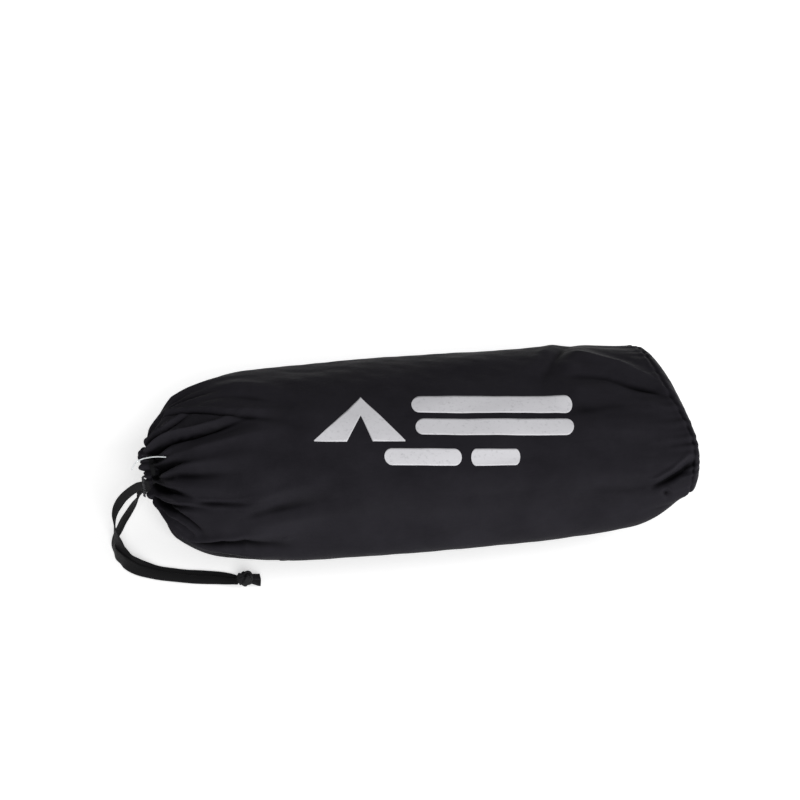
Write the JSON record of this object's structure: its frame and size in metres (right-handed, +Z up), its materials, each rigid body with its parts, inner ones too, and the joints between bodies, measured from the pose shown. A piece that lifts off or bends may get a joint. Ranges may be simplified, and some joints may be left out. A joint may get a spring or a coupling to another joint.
{
  "type": "bivy sack",
  "caption": "Packed bivy: drawcord stuff sack lying on its side, holding the rolled bivy, its door zip and its folded hoop pole.",
  "frame": {"origin": "under the middle of the sack, on the surface that it lies on, at the bottom centre of its bounding box without the drawcord tails", "axes": "+X from the gathered mouth to the sewn end panel, +Z up, +Y across, away from the side where the drawcord tails lie"},
  "size_m": [0.3564, 0.163, 0.0798],
  "materials": {
    "sack_cloth": "matt plain-weave nylon with a soft sheen",
    "cord_tape": "flat woven polyester tape",
    "thread": "polyester sewing thread",
    "filament": "clear nylon monofilament",
    "floor_cloth": "coated nylon taffeta",
    "upper_cloth": "ripstop nylon laminate",
    "bug_mesh": "fine insect mesh",
    "webbing": "woven webbing",
    "zip": "polyester zip tape and coil",
    "zip_metal": "painted die-cast metal",
    "pole_plastic": "natural acetal tube",
    "aluminium": "drawn and turned",
    "elastic": "braided elastic cord"
  },
  "bodies": {
    "sack": {"sack_tube": "sack_cloth", "mouth_gather": "sack_cloth", "sack_end_panel": "sack_cloth", "drawcord_channel": "sack_cloth", "drawcord_loop": "cord_tape", "buttonhole_stitching": "thread", "tag_filament": "filament"},
    "drawcord": {"drawcord_tail_a": "cord_tape", "drawcord_tail_b": "cord_tape", "drawcord_knot": "cord_tape"},
    "bivy_roll": {"bivy_floor": "floor_cloth", "bivy_upper": "upper_cloth", "bug_mesh_door": "bug_mesh", "door_zipper_tape": "zip", "zipper_coil": "zip", "stake_loop_head_left": "webbing", "stake_loop_head_right": "webbing", "stake_loop_foot_left": "webbing", "stake_loop_foot_right": "webbing"},
    "zip_slider": {"zipper_slider": "zip_metal", "zipper_pull": "zip_metal"},
    "hoop_pole": {"pole_section_1": "pole_plastic", "pole_section_2": "pole_plastic", "pole_section_3": "pole_plastic", "pole_section_4": "pole_plastic", "pole_spigot_1": "aluminium", "pole_spigot_2": "aluminium", "pole_spigot_3": "aluminium", "pole_tip_front": "aluminium", "pole_tip_rear": "aluminium", "shock_cord": "elastic"}
  },
  "joints": [
    {"name": "drawcord_pull", "type": "slide", "parent": "sack", "child": "drawcord", "axis": [-1, 0, 0], "range_m": [0, 0.02]},
    {"name": "roll_slide", "type": "slide", "parent": "sack", "child": "bivy_roll", "axis": [-1, 0, 0], "range_m": [0, 0.34], "deforming": ["mouth_gather", "drawcord_channel", "drawcord_loop", "buttonhole_stitching", "tag_filament", "drawcord_tail_a", "drawcord_tail_b"]},
    {"name": "pole_slide", "type": "slide", "parent": "bivy_roll", "child": "hoop_pole", "axis": [-1, 0, 0], "range_m": [0, 0.3]},
    {"name": "zip_slide", "type": "slide", "parent": "bivy_roll", "child": "zip_slider", "axis": [1, 0, 0], "range_m": [0, 0.2]}
  ]
}
